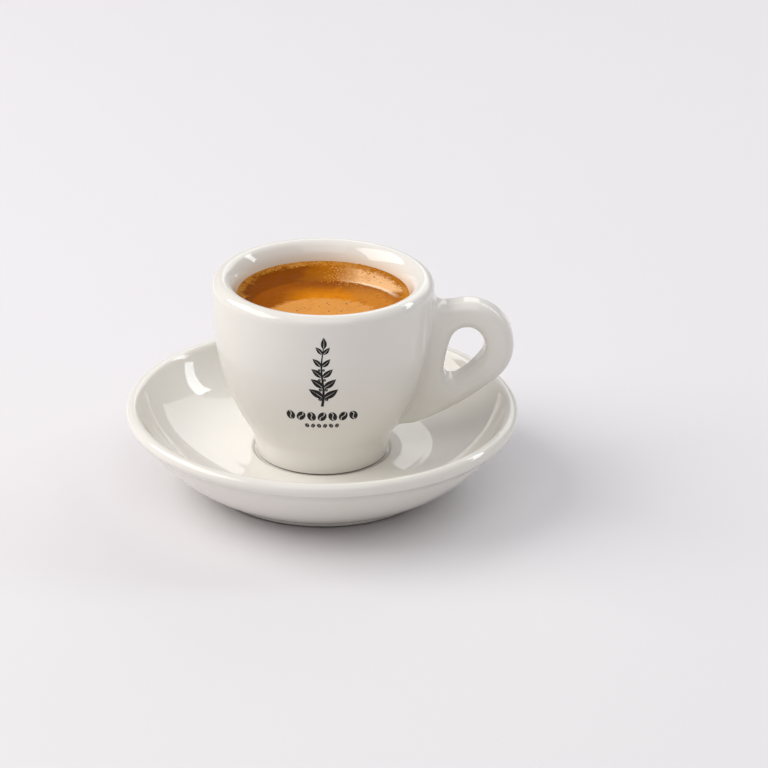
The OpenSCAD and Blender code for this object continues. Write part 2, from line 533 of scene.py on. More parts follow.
def vertex_places(mesh):
    """A mesh's vertices as rows of x, y, z, in metres."""
    places = np.empty(len(mesh.vertices) * 3, np.float32)
    mesh.vertices.foreach_get("co", places)
    return places.reshape(-1, 3).astype(float)


def signed_volume(mesh):
    """Volume in cubic millimetres, negative where the faces point inwards."""
    mesh.calc_loop_triangles()
    corners = np.empty(len(mesh.loop_triangles) * 3, np.int32)
    mesh.loop_triangles.foreach_get("vertices", corners)
    a, b, c = vertex_places(mesh)[corners.reshape(-1, 3)].transpose(1, 0, 2)
    return float(np.einsum("ij,ij->i", a, np.cross(b, c)).sum() / 6 / MM**3)


def face_outwards(piece):
    """Turns a closed piece's faces round if they point inwards, and gives its volume."""
    if signed_volume(piece.data) < 0:
        piece.data.flip_normals()
    return signed_volume(piece.data)


# %% [markdown]
# ## Turn the saucer
# Three hundred and sixty steps round keep the lip's outline smooth to the eye, and two hundred points
# along the section are spent mostly on the lip, the crease, the well's edge and the foot ring.

# %% Turn the saucer
saucer_piece = grow(
    "saucer_porcelain",
    section_mesh(spread(saucer_line, 210)),
    turned_form,
    {"Turns": 360, "Material": glaze_of_saucer},
)
saucer_volume = round(face_outwards(saucer_piece))
print("saucer volume:", saucer_volume, "mm3,", len(saucer_piece.data.polygons), "faces")

# %% [markdown]
# ## The cup's half section and the handle's outline
# The cup swells from an upright foot to a nearly upright wall, and its rim is a round bead that
# leans into the bowl. The handle is a flat loop, pressed from its own mould and stuck on with slip:
# seen from the side, its outline and its finger hole are each a string round three pegs, which bows
# a little between them.

# %% Draw the cup's half section
RIM_T = 5.8
WALL_T = 8.3
CUP_FOOT_R, CUP_FOOT_H = 19.8, 6.3
FOOT_RECESS, FOOT_RING_W = 1.5, 3.4
BELLY_FULLNESS = 0.79
RIM_TURN = 140.0
THROAT_DROP = 13.0

rim_bead = np.array([cup_r - RIM_T / 2, rim_top - RIM_T / 2])
rim_in = rim_bead + RIM_T / 2 * toward(RIM_TURN)
throat = np.array([cup_r - WALL_T, rim_top - THROAT_DROP])
belly_low = np.array([CUP_FOOT_R + 2.4, cup_z + CUP_FOOT_H + 3])
belly_pull = belly_low + np.array([
    BELLY_FULLNESS * (cup_r - belly_low[0]),
    0.3 * (rim_bead[1] - belly_low[1]),
])
wall_pull = np.array([cup_r, belly_low[1] + 0.59 * (rim_bead[1] - belly_low[1])])

bowl_section = np.concatenate([
    curve(rim_in, rim_in + 4 * toward(RIM_TURN + 90), throat + [0, 5.5], throat),
    curve(
        throat,
        throat - [0, 0.4 * (throat[1] - bowl_floor)],
        [0.77 * throat[0], bowl_floor],
        [0, bowl_floor],
    ),
])
cup_section = np.concatenate([
    [
        [0, cup_z + FOOT_RECESS],
        [CUP_FOOT_R - FOOT_RING_W - FOOT_RECESS, cup_z + FOOT_RECESS],
        [CUP_FOOT_R - FOOT_RING_W, cup_z],
    ],
    arc([CUP_FOOT_R - FOOT_EDGE, cup_z + FOOT_EDGE], FOOT_EDGE, -90, 0),
    curve(
        [CUP_FOOT_R, cup_z + FOOT_EDGE + 0.4],
        [CUP_FOOT_R + 0.7, cup_z + CUP_FOOT_H - 2.6],
        belly_low - 0.17 * (belly_pull - belly_low),
        belly_low,
    ),
    curve(belly_low, belly_pull, wall_pull, [cup_r, rim_bead[1]]),
    arc(rim_bead, RIM_T / 2, 0, RIM_TURN),
    bowl_section,
])
cup_line = soften(cup_section)
outer_part = cup_line[np.argmax(cup_line[:, 0] > CUP_FOOT_R - 0.5):np.argmax(cup_line[:, 1])]


def outer_radius(height):
    """The cup's outer radius at a height above the table."""
    return np.interp(height, outer_part[:, 1], outer_part[:, 0])


print("cup section:", len(cup_line), "points; radius at the print", round(float(outer_radius(40.0)), 2))

# %% Draw the handle's outline and its finger hole
LOOP_R = 14.0
LOOP_Z = 35.1
BAND_W = 8.5
HANDLE_T = 9.4
TAIL_R, TAIL_Z = 5.8, 15.1
TOE_R = 2.4
SUNK = 3.0                         # the handle starts this deep inside the cup's wall

loop_x = handle_end - LOOP_R
loop_z = cup_z + LOOP_Z
hole_r = LOOP_R - BAND_W
outline_pegs = [
    (cup_r - 2.5, loop_z + 10.6, 2.0),
    (loop_x, loop_z, LOOP_R),
    (CUP_FOOT_R + 6.2, cup_z + TAIL_Z, TAIL_R),
]
outline_bows = [-0.3, 1.0, 0.0]    # how far each straight stretch bows outwards, or inwards if below 0
hole_pegs = [
    (loop_x - 0.1, loop_z + 1.1, hole_r - 0.5),
    (loop_x + 0.2, loop_z - 0.2, hole_r - 0.2),
    (loop_x - 4.5, loop_z - 8.6, TOE_R),
]
hole_bows = [0.0, 0.5, 0.3]


def leaving_angle(here, there):
    """Direction, in degrees, in which a string that runs clockwise leaves one peg for the next."""
    along = np.subtract(there[:2], here[:2])
    lean = math.degrees(math.acos((here[2] - there[2]) / np.hypot(*along)))
    return math.degrees(math.atan2(along[1], along[0])) + lean


def bowed(start, end, bow):
    """A stretch of string that bows to the left of its run."""
    t = np.linspace(0.0, 1.0, 41)[1:-1, None]
    run = end - start
    left = np.array([-run[1], run[0]]) / np.hypot(*run)
    return start + t * run + bow * 4 * t * (1 - t) * left


def string_round(pegs, bows, step=0.4, softness=1.2):
    """Evenly spaced points on a softened closed string, clockwise round three pegs [x, z, radius]."""
    corners = []
    for k, here in enumerate(pegs):
        before, after = pegs[k - 1], pegs[(k + 1) % len(pegs)]
        leave = leaving_angle(here, after)
        turn = (leaving_angle(before, here) - leave) % 360.0
        corners.append(arc(here[:2], here[2], leave + turn, leave, step=2.0))
    parts = []
    for k, corner in enumerate(corners):
        parts += [corner, bowed(corner[-1], corners[(k + 1) % len(corners)][0], bows[k])]
    line = np.concatenate(parts + [corners[0][:1]])
    along = lengths_along(line)
    count = int(along[-1] / step)
    line = sample(line, along, np.linspace(0.0, along[-1], count + 1)[:-1])
    reach = int(3 * softness / step)
    weights = np.exp(-0.5 * (np.arange(-reach, reach + 1) * step / softness) ** 2)
    return sum(np.roll(line, k - reach, axis=0) * weights[k] for k in range(len(weights))) / weights.sum()


handle_outline = string_round(outline_pegs, outline_bows)
handle_outline[:, 0] = np.maximum(handle_outline[:, 0], outer_radius(handle_outline[:, 1]) - SUNK)
handle_hole = string_round(hole_pegs, hole_bows)
print("handle outline:", len(handle_outline), "points; hole:", len(handle_hole), "points")

# %% [markdown]
# ## The cup's skin
# On the real cup the handle's joint is wiped with a wet brush, so the wall flows into the handle in
# a soft hollow. A boolean would leave a hard crease there. So the cup is described by how far any
# point lies from its surface: one distance for the turned body, one for the handle, and a blend of
# the two that fills the crease. The smaller of both distances would be the plain union.

# %% Distances to the body and to the handle
FILLET = 4.0                       # how far from the crease the blend between body and handle begins
OUTER_ROUND, HOLE_ROUND = 3.2, 2.6  # rounding of the handle's edges, outside and round the hole


def line_normals(line, closed):
    """The direction to the right of a line's run, at each of its points."""
    if closed:
        run = np.roll(line, -1, axis=0) - np.roll(line, 1, axis=0)
    else:
        run = np.gradient(line, axis=0)
    run /= np.linalg.norm(run, axis=1, keepdims=True)
    return np.stack([run[:, 1], -run[:, 0]], axis=1)


def distance_to_line(points, line, normals, closed, stride=8, chunk=20000):
    """Signed distance to a fine line, positive on its right, and the normal at the nearest place.

    One point in each stride is tried first, then the short spans on both sides of the best one.
    """
    count = len(line)
    window = np.arange(-stride, stride)
    distance = np.empty(len(points))
    normal = np.empty((len(points), 2))
    for first in range(0, len(points), chunk):
        p = points[first:first + chunk]
        rough = ((p[:, None] - line[::stride]) ** 2).sum(axis=2).argmin(axis=1) * stride
        starts = rough[:, None] + window
        starts = starts % count if closed else np.clip(starts, 0, count - 2)
        ends = (starts + 1) % count
        span = line[ends] - line[starts]
        along = ((p[:, None] - line[starts]) * span).sum(axis=2) / (span**2).sum(axis=2)
        along = np.clip(along, 0.0, 1.0)
        gap = p[:, None] - (line[starts] + along[..., None] * span)
        nearest = (gap**2).sum(axis=2).argmin(axis=1)
        rows = np.arange(len(p))
        share = along[rows, nearest][:, None]
        n = (1 - share) * normals[starts[rows, nearest]] + share * normals[ends[rows, nearest]]
        n /= np.linalg.norm(n, axis=1, keepdims=True)
        g = gap[rows, nearest]
        distance[first:first + chunk] = np.linalg.norm(g, axis=1) * np.sign((g * n).sum(axis=1))
        normal[first:first + chunk] = n
    return distance, normal


cup_normals = line_normals(cup_line, closed=False)
cup_normals[[0, -1]] = [[0.0, -1.0], [0.0, 1.0]]
outline_normals = -line_normals(handle_outline, closed=True)
hole_normals = line_normals(handle_hole, closed=True)


def body_distance(points):
    """Distance to the turned body and the direction in which it grows."""
    radius = np.hypot(points[:, 0], points[:, 1])
    section = np.stack([radius, points[:, 2]], axis=1)
    distance, normal = distance_to_line(section, cup_line, cup_normals, closed=False)
    outward = points[:, :2] / np.maximum(radius, 1e-9)[:, None]
    return distance, np.column_stack([normal[:, :1] * outward, normal[:, 1]])


def handle_distance(points):
    """Distance to the handle, a flat loop with rounded edges, and the direction in which it grows."""
    flat = points[:, [0, 2]]
    outer, outer_normal = distance_to_line(flat, handle_outline, outline_normals, closed=True)
    inner, inner_normal = distance_to_line(flat, handle_hole, hole_normals, closed=True)
    by_hole = inner > outer
    edge = np.where(by_hole, inner, outer)
    edge_normal = np.where(by_hole[:, None], inner_normal, outer_normal)
    rounding = np.where(by_hole, HOLE_ROUND, OUTER_ROUND)
    side = np.abs(points[:, 1]) - (HANDLE_T / 2 - rounding)
    edge = edge + rounding
    past_edge, past_side = np.maximum(edge, 0.0), np.maximum(side, 0.0)
    corner = np.hypot(past_edge, past_side)
    distance = corner + np.minimum(np.maximum(edge, side), 0.0) - rounding
    inside = corner < 1e-9
    edge_share = np.where(inside, edge > side, past_edge / np.maximum(corner, 1e-9))
    side_share = np.where(inside, edge <= side, past_side / np.maximum(corner, 1e-9))
    normal = np.column_stack([
        edge_share * edge_normal[:, 0],
        side_share * np.sign(points[:, 1]),
        edge_share * edge_normal[:, 1],
    ])
    return distance, normal


def cup_distance(points):
    """Distance to the whole cup, with the handle's joint filled, and the direction outwards."""
    body, body_normal = body_distance(points)
    handle, handle_normal = handle_distance(points)
    share = np.clip(0.5 + 0.5 * (handle - body) / FILLET, 0.0, 1.0)
    distance = handle + (body - handle) * share - FILLET * share * (1.0 - share)
    normal = share[:, None] * body_normal + (1.0 - share)[:, None] * handle_normal
    normal /= np.maximum(np.linalg.norm(normal, axis=1, keepdims=True), 1e-9)
    return distance, normal


test_places = np.array([[cup_r, 0.0, 40.0], [handle_end, 0.0, loop_z], [0.0, 0.0, bowl_floor]])
print("distances at three places on the surface:", cup_distance(test_places)[0].round(3))

# %% [markdown]
# ## Fuse, then slide onto the form
# The Remesh modifier fuses a turned body and a flat loop into one closed skin of small, even
# quads, but with steps in it. Each point then slides along the direction outwards until its
# distance is nought, and a little evening-out keeps the quads alike. The same directions are kept
# as the mesh's normals, so reflections run over it as over a true curve.

# %% Fuse the body and the handle
CUP_CELL = 0.62


def set_vertex_places(mesh, places):
    """Moves a mesh's vertices to these rows of x, y, z, in metres."""
    mesh.vertices.foreach_set("co", places.astype(np.float32).ravel())
    mesh.update()


def handle_blank():
    """A flat loop with rounded edges, from a filled curve with a hole."""
    data = bpy.data.curves.new("handle_blank", "CURVE")
    data.dimensions = "2D"
    data.fill_mode = "BOTH"
    data.bevel_depth = HOLE_ROUND * MM
    data.bevel_resolution = 3
    data.offset = -HOLE_ROUND * MM
    data.extrude = (HANDLE_T / 2 - HOLE_ROUND) * MM
    for line in (handle_outline, handle_hole):
        spline = data.splines.new("POLY")
        spline.points.add(len(line) - 1)
        flat = np.column_stack([line * MM, np.zeros(len(line)), np.ones(len(line))])
        spline.points.foreach_set("co", flat.ravel())
        spline.use_cyclic_u = True
    blank = bpy.data.objects.new("handle_blank", data)
    bpy.context.scene.collection.objects.link(blank)
    mesh = bpy.data.meshes.new_from_object(blank.evaluated_get(bpy.context.evaluated_depsgraph_get()))
    bpy.data.objects.remove(blank)
    places = vertex_places(mesh)
    set_vertex_places(mesh, places[:, [0, 2, 1]] * [1, -1, 1])
    return mesh


def fused(meshes, cell):
    """One closed skin round several overlapping closed meshes."""
    points, faces, first = [], [], 0
    for mesh in meshes:
        points += [tuple(v.co) for v in mesh.vertices]
        faces += [[first + i for i in p.vertices] for p in mesh.polygons]
        first = len(points)
    both = bpy.data.meshes.new("overlapping")
    both.from_pydata(points, [], faces)
    carrier = bpy.data.objects.new("fusing", both)
    bpy.context.scene.collection.objects.link(carrier)
    remesh = carrier.modifiers.new("fuse", "REMESH")
    remesh.mode = "VOXEL"
    remesh.voxel_size = cell * MM
    remesh.adaptivity = 0.0
    skin = bpy.data.meshes.new_from_object(carrier.evaluated_get(bpy.context.evaluated_depsgraph_get()))
    bpy.data.objects.remove(carrier)
    return skin


body_blank = grow(
    "body_blank",
    section_mesh(spread(cup_line, 180)),
    turned_form,
    {"Turns": 180, "Material": glaze_of_cup},
)
face_outwards(body_blank)
cup_mesh = fused([body_blank.data, handle_blank()], CUP_CELL)
bpy.data.objects.remove(body_blank)
print("fused skin:", len(cup_mesh.polygons), "quads")

# %% Slide the skin onto the cup's form


def evened(places, edges, normals, strength=0.6):
    """Moves each point towards the middle of its neighbours, but only along the surface."""
    middle = np.zeros_like(places)
    for near, far in ((edges[:, 0], edges[:, 1]), (edges[:, 1], edges[:, 0])):
        for k in range(3):
            middle[:, k] += np.bincount(near, weights=places[far, k], minlength=len(places))
    count = np.bincount(edges.ravel(), minlength=len(places))
    move = middle / count[:, None] - places
    move -= (move * normals).sum(axis=1, keepdims=True) * normals
    return places + strength * move


def slid_onto(places, edges, rounds=5, last_rounds=3, longest=0.8):
    """Points slid onto the cup's form: short steps that are evened out, then the rest of the way."""
    for _ in range(rounds):
        distance, normals = cup_distance(places)
        places = places - np.clip(distance, -longest, longest)[:, None] * normals
        places = evened(places, edges, normals)
    for _ in range(last_rounds):
        distance, normals = cup_distance(places)
        places = places - distance[:, None] * normals
    distance, normals = cup_distance(places)
    print("farthest point from the form:", round(float(np.abs(distance).max()), 4), "mm")
    return places, normals


edge_ends = np.empty(len(cup_mesh.edges) * 2, np.int32)
cup_mesh.edges.foreach_get("vertices", edge_ends)
cup_places, cup_directions = slid_onto(vertex_places(cup_mesh) / MM, edge_ends.reshape(-1, 2))
set_vertex_places(cup_mesh, cup_places * MM)
cup_mesh.materials.clear()
cup_mesh.materials.append(glaze_of_cup)
cup_mesh.shade_smooth()
cup_mesh.normals_split_custom_set_from_vertices(cup_directions.tolist())
cup_piece = bpy.data.objects.new("cup_porcelain", cup_mesh)
bpy.context.scene.collection.objects.link(cup_piece)
print("cup volume:", round(signed_volume(cup_mesh)), "mm3")

# %% [markdown]
# ## The crema's colours
# Crema is a foam of fine bubbles on dark coffee: amber and brown where it is thin, golden where it is
# thick, and tan where the bubbles are finest. It isn't one colour anywhere, so the material mixes
# nine, by the place on the surface and by noises that are stretched into swirls. Light is painted
# into some of them: the amber at the back and at the left is painted shade of the cup's wall, and a
# patch at the right with a bright line along it is a painted reflection of the lit inner wall and
# its rim. Foam hardly mirrors anything, and full gloss would lay a milky veil over it, so its own
# Specular is nearly off and a faint, smooth Coat gives what little shine its wet skin has.

# %% Make the crema's material
DARK_AMBER = (0.195, 0.046, 0.0005, 1.0)
AMBER = (0.27, 0.066, 0.0005, 1.0)
GOLDEN = (0.65, 0.205, 0.0005, 1.0)
BACK_AMBER = (0.38, 0.115, 0.001, 1.0)
MUTED = (0.48, 0.185, 0.03, 1.0)
EDGE_FOAM = (0.56, 0.23, 0.02, 1.0)
TAN = (0.69, 0.305, 0.07, 1.0)
# pale foam, and also the colour of the painted reflection of the lit inner wall at the right
PALE_FOAM_AND_REFLECTION = (0.85, 0.49, 0.23, 1.0)
# painted highlight: the reflection of the cup's lit rim, as a bright line in the coffee
RIM_REFLECTION = (1.0, 0.80, 0.58, 1.0)
DRIFT_SIZE, CURL_SIZE, GRAIN_SIZE = 9.0, 3.2, 0.45
CREMA_RELIEF = 0.02
POOL_CENTRE, POOL_SIZE = (1.0, -8.0), (22.0, 19.0)  # the golden pool is an oval about this place
BLOOM_CENTRE, BLOOM_R = (0.0, -21.0), 18.5          # the tan bloom is a round field in the pool's front
COFFEE_R = float(coffee_high[0])


def from_place(x, y, centre, size=(1.0, 1.0)):
    """Distance from a place on the surface, reckoned in units of a size across and a size back."""
    across, back = (x - centre[0]) / size[0], (y - centre[1]) / size[1]
    return (across * across + back * back).maths("POWER", 0.5)


def make_crema():
    """Golden pool and tan bloom in front, amber behind and at the left as painted shade, a painted
    reflection at the right, foam along the wall.
    """
    material, board = new_material("crema")
    place = board.node("ShaderNodeTexCoord", out="Object")
    drift = board.noise(place, DRIFT_SIZE, detail=2.0, distortion=1.2) - 0.5
    curl = board.noise(place, CURL_SIZE, detail=3.0, distortion=2.5) - 0.5
    grain = board.noise(place, GRAIN_SIZE, detail=2.0, roughness=0.7)
    x = board.node("ShaderNodeSeparateXYZ", {}, {0: place}) / MM
    y = board.node("ShaderNodeSeparateXYZ", {}, {0: place}, out="Y") / MM

    # the pool: golden in front and in the middle, duller at the right, darker at its edge, and amber
    # at its back and left, as painted shade of the cup's wall
    out_of_pool = from_place(x, y, POOL_CENTRE, POOL_SIZE) + curl * 0.06
    beyond = out_of_pool.ramp(0.97, 1.03)
    front = (y + drift * 8.0).ramp(9.0, -2.0)
    right = (x + drift * 6.0).ramp(-15.0, -2.0)
    colour = board.mix(front * right, AMBER, GOLDEN)
    colour = board.mix((x + drift * 8.0).ramp(3.0, 14.0) * 0.6, colour, MUTED)
    colour = board.mix(out_of_pool.ramp(0.84, 0.97) * 0.5, colour, AMBER)
    colour = board.mix((curl * 2.2).clamped() * 0.6, colour, DARK_AMBER)

    # the bloom: tan, with a few curls of amber
    bloom = (from_place(x, y, BLOOM_CENTRE) + curl * 3.5).ramp(BLOOM_R + 0.9, BLOOM_R - 1.3)
    colour = board.mix(bloom * 0.8, colour, TAN)
    colour = board.mix((curl * 3.0).clamped() * bloom * 0.25, colour, AMBER)

    # behind the pool: dark at the left and amber in the middle, painted shade of the cup's wall, and at
    # the right a light patch, painted as the reflection of the lit inner wall
    radius = from_place(x, y, (0.0, 0.0)) + curl * 7.0 + drift * 3.0 + (grain - 0.5) * 3.5
    by_wall = radius.ramp(COFFEE_R - 2.8, COFFEE_R - 0.2)
    # painted reflection: the lit inner wall at the right, mirrored in the coffee, painted as a light
    # patch
    reflection_side = (x + y * -0.15 + drift * 6.0).ramp(-6.0, 13.0) * y.ramp(-1.0, 5.0)
    wall_reflection = (reflection_side * 1.8 - 0.7).clamped() * (1.0 - by_wall) * (x + drift * 3.0).ramp(26.5, 23.5)
    back_colour = board.mix((x + drift * 10.0).ramp(-11.0, 3.0), DARK_AMBER, BACK_AMBER)
    back_colour = board.mix(wall_reflection, back_colour, PALE_FOAM_AND_REFLECTION)
    colour = board.mix(beyond, colour, back_colour)

    # foam along the wall, thin beside the painted reflection, and a painted highlight where that meets
    # the pool: the rim's bright reflection, drawn as a line
    by_wall = by_wall * (1.0 - x.ramp(8.0, 16.0) * y.ramp(2.0, 8.0) * 0.8)
    colour = board.mix(by_wall * (0.8 - bloom * 0.8), colour, EDGE_FOAM)
    rim_reflection = out_of_pool.ramp(0.96, 1.0) * out_of_pool.ramp(1.08, 1.01)
    rim_reflection = rim_reflection * x.ramp(4.0, 13.0) * y.ramp(-3.0, 3.0)
    colour = board.mix(rim_reflection * (1.0 - by_wall) * 0.6, colour, RIM_REFLECTION)
    fine_foam = grain.ramp(0.52, 0.8) * (bloom * 0.3 + beyond * reflection_side * 0.35 + by_wall * 0.3 + 0.04)
    colour = board.mix(fine_foam.clamped(), colour, PALE_FOAM_AND_REFLECTION)

    relief = board.node("ShaderNodeBump", {}, {
        "Strength": 1.0,
        "Distance": CREMA_RELIEF * MM,
        "Height": grain * 0.8 + curl * 1.2,
    })
    close_material(board, {
        "Base Color": colour,
        "Roughness": 0.42 - bloom * 0.05 + grain * 0.1,
        "IOR": 1.33,
        "Specular IOR Level": 0.01,
        "Normal": relief,
        "Coat Weight": 0.03,
        "Coat Roughness": 0.05,
    })
    return material


crema = make_crema()
print("crema ready:", len(crema.node_tree.nodes), "nodes")

# %% [markdown]
# ## The coffee
# The drink fills the bowl and climbs the wall a little, in a meniscus. It is turned from a section too:
# down in the bowl it reaches a hair's breadth into the porcelain, so that no gap shows. A second
# tree then lifts the surface: slow lumps and a fine grain over them, both calmer beside the wall.

# %% Turn the coffee and raise its foam
INTO_WALL = 0.15
MENISCUS_H, MENISCUS_W = 0.55, 0.9
LUMP_H, GRAIN_H = 0.35, 0.06
LUMPS_APART, GRAINS_APART = 6.0, 0.9
SURFACE_RINGS = 120

bowl_up = soften(np.concatenate([bowl_section[::-1], [[0.0, rim_top]]]))
bowl_up = bowl_up[bowl_up[:, 1] < level]
bowl_up = bowl_up[:np.argmax(bowl_up[:, 1]) + 1]
wet_side = bowl_up + INTO_WALL * line_normals(bowl_up, closed=False)
wet_side[0] = [0.0, bowl_floor - INTO_WALL]
wet_side[-1, 1] = level
wet_r = wet_side[-1, 0]
surface_radii = np.linspace(wet_r, 0.0, SURFACE_RINGS)[1:]
surface_line = np.column_stack([surface_radii, np.full(len(surface_radii), level)])
coffee_line = np.concatenate([wet_side[::6], wet_side[-1:], surface_line])


def foam_tree():
    """A tree that lifts a flat surface into meniscus, lumps and grain."""
    tree, board, given = new_growth("raised_foam", {
        "Level": "Float",
        "Radius": "Float",
        "Meniscus height": "Float",
        "Meniscus width": "Float",
        "Lumps": "Float",
        "Grain": "Float",
        "Material": "Material",
    })
    place = board.node("GeometryNodeInputPosition")
    x = board.node("ShaderNodeSeparateXYZ", {}, {0: place})
    y, z = x.beside("Y"), x.beside("Z")
    radius = (x * x + y * y).maths("POWER", 0.5)
    on_top = z.maths("GREATER_THAN", given["Level"] - 0.01 * MM)
    from_wall = (given["Radius"] - radius) / given["Meniscus width"]
    climb = (from_wall * -1.0).maths("EXPONENT") * given["Meniscus height"]
    lumps = (board.noise(place, LUMPS_APART, detail=2.0, distortion=0.8) - 0.5) * given["Lumps"]
    grain = (board.noise(place, GRAINS_APART, detail=2.0) - 0.5) * given["Grain"]
    quiet_edge = from_wall.ramp(0.0, 2.0)
    rise = (climb + (lumps + grain) * quiet_edge) * on_top
    offset = board.node("ShaderNodeCombineXYZ", {}, {"Z": rise})
    raised = board.node("GeometryNodeSetPosition", {}, {"Geometry": given["Geometry"], "Offset": offset})
    close_growth(board, raised, given["Material"])
    return tree


smooth_coffee = grow(
    "smooth_coffee", section_mesh(coffee_line), turned_form, {"Turns": 320, "Material": crema}
)
coffee_piece = grow("espresso_and_crema", smooth_coffee.data, foam_tree(), {
    "Level": level * MM,
    "Radius": wet_r * MM,
    "Meniscus height": MENISCUS_H * MM,
    "Meniscus width": MENISCUS_W * MM,
    "Lumps": LUMP_H * MM,
    "Grain": GRAIN_H * MM,
    "Material": crema,
})
bpy.data.objects.remove(smooth_coffee)
coffee_volume = round(face_outwards(coffee_piece))
print("coffee volume:", coffee_volume, "mm3,", len(coffee_piece.data.polygons), "faces")

# %% [markdown]
# ## Bubbles and pinholes
# Two things break the skin of the crema: froth, a crowd of tiny domes along the wall and in a patch at
# the back, and pinholes, where a bubble has burst and the dark coffee shows. Geometry Nodes scatter
# both on the coffee's surface, a seed fixes them, and the instances are realized, since only real
# mesh is kept.

# %% Scatter froth and pinholes
FROTH_PATCH = (9.0, 17.0)          # the froth is thickest about this place
PINHOLE_DARK, PINHOLE_LIGHT = (0.035, 0.012, 0.003, 1.0), (0.09, 0.03, 0.006, 1.0)


def scatter_tree(name, build_mask, build_grain):
    """A tree that strews small grains over the top faces, as densely as a mask says."""
    tree, board, given = new_growth(name, {
        "Level": "Float",
        "Spacing": "Float",
        "Density": "Float",
        "Smallest": "Float",
        "Largest": "Float",
        "Seed": "Int",
        "Material": "Material",
    })
    place = board.node("GeometryNodeInputPosition")
    x = board.node("ShaderNodeSeparateXYZ", {}, {0: place})
    y, z = x.beside("Y"), x.beside("Z")
    on_top = z.maths("GREATER_THAN", given["Level"] - 0.3 * MM)
    mask = build_mask(board, place, x / MM, y / MM)
    points = board.node("GeometryNodeDistributePointsOnFaces", {"distribute_method": "POISSON"}, {
        "Mesh": given["Geometry"],
        "Selection": on_top,
        "Distance Min": given["Spacing"],
        "Density Max": given["Density"],
        "Density Factor": (mask * on_top).clamped(),
        "Seed": given["Seed"],
    })
    size = board.node("FunctionNodeRandomValue", {"data_type": "FLOAT"}, {
        2: 0.0, 3: 1.0, "Seed": given["Seed"] + 7.0,
    }, out=1)
    size = given["Smallest"] + (given["Largest"] - given["Smallest"]) * size * size
    strewn = board.node("GeometryNodeInstanceOnPoints", {}, {
        "Points": points,
        "Instance": build_grain(board),
        "Scale": board.node("ShaderNodeCombineXYZ", {}, {0: size, 1: size, 2: size}),
    })
    real = board.node("GeometryNodeRealizeInstances", {}, {"Geometry": strewn})
    smooth = board.node("GeometryNodeSetShadeSmooth", {}, {"Geometry": real})
    close_growth(board, smooth, given["Material"])
    return tree


def flat_ball(board, segments, rings, flatness):
    """A ball of radius 1, flattened."""
    sockets = {"Segments": segments, "Rings": rings, "Radius": 1.0}
    ball = board.node("GeometryNodeMeshUVSphere", {}, sockets)
    return board.node("GeometryNodeTransform", {}, {"Geometry": ball, "Scale": (1.0, 1.0, flatness)})


def froth_mask(board, place, x, y):
    """Froth along the wall, more at the back, and thickest in the patch."""
    radius = from_place(x, y, (0.0, 0.0))
    patch = from_place(x, y, FROTH_PATCH).ramp(13.0, 4.0)
    wall = radius.ramp(COFFEE_R - 2.6, COFFEE_R - 0.6)
    back = (y + x * 0.3).ramp(2.0, 14.0)
    clumps = board.noise(place, 4.0, detail=2.0).ramp(0.35, 0.65)
    return (wall * (0.25 + 0.75 * back) + patch * 0.9) * (0.25 + 0.75 * clumps)


def pinhole_mask(board, place, x, y):
    """Pinholes in loose clumps, few in the froth and none at the wall."""
    radius = from_place(x, y, (0.0, 0.0))
    clumps = board.noise(place, 6.0, detail=1.0).ramp(0.45, 0.6)
    outside_patch = 1.0 - from_place(x, y, FROTH_PATCH).ramp(12.0, 6.0) * 0.75
    return clumps * outside_patch * radius.ramp(COFFEE_R - 0.8, COFFEE_R - 2.5)


def make_pinhole_brown():
    """Dark wet coffee, seen through a hole in the foam."""
    material, board = new_material("pinhole_brown")
    place = board.node("ShaderNodeTexCoord", out="Object")
    tone = board.noise(place, 3.0)
    colour = board.mix(tone, PINHOLE_DARK, PINHOLE_LIGHT)
    close_material(board, {"Base Color": colour, "Roughness": 0.3 + tone * 0.1, "IOR": 1.38})
    return material


def make_froth():
    """Fine foam: paler than the crema under it, each dome wet."""
    material, board = new_material("froth")
    place = board.node("ShaderNodeTexCoord", out="Object")
    tone = board.noise(place, 1.2, detail=1.0)
    patchy = board.noise(place, 7.0, detail=1.0)
    colour = board.mix(tone.ramp(0.3, 0.7) * 0.8, EDGE_FOAM, TAN)
    colour = board.mix(patchy.ramp(0.4, 0.7) * 0.35, colour, PALE_FOAM_AND_REFLECTION)
    close_material(board, {
        "Base Color": colour,
        "Roughness": 0.3 + tone * 0.15,
        "IOR": 1.33,
        "Specular IOR Level": 0.10,
    })
    return material


scatter_values = {"Level": level * MM}
froth_piece = grow(
    "crema_froth",
    coffee_piece.data,
    scatter_tree("froth", froth_mask, lambda board: flat_ball(board, 8, 5, 0.6)),
    scatter_values | {
        "Spacing": 0.32 * MM,
        "Density": 9.0e6,
        "Smallest": 0.10 * MM,
        "Largest": 0.32 * MM,
        "Seed": 4,
        "Material": make_froth(),
    },
)
pinhole_piece = grow(
    "crema_pinholes",
    coffee_piece.data,
    scatter_tree("pinholes", pinhole_mask, lambda board: flat_ball(board, 10, 5, 0.25)),
    scatter_values | {
        "Spacing": 1.1 * MM,
        "Density": 0.16e6,
        "Smallest": 0.12 * MM,
        "Largest": 0.30 * MM,
        "Seed": 11,
        "Material": make_pinhole_brown(),
    },
)
print("froth faces:", len(froth_piece.data.polygons), "pinhole faces:", len(pinhole_piece.data.polygons))

# %% [markdown]
# ## The print
# The cup carries a small dark transfer print on its front: here a plain coffee sprig over two rows
# of beans. Ink lies on the glaze in a layer as thin as a hair, so each shape is a thin closed patch
# that is drawn flat, in millimetres across and up, and then wrapped onto the wall.

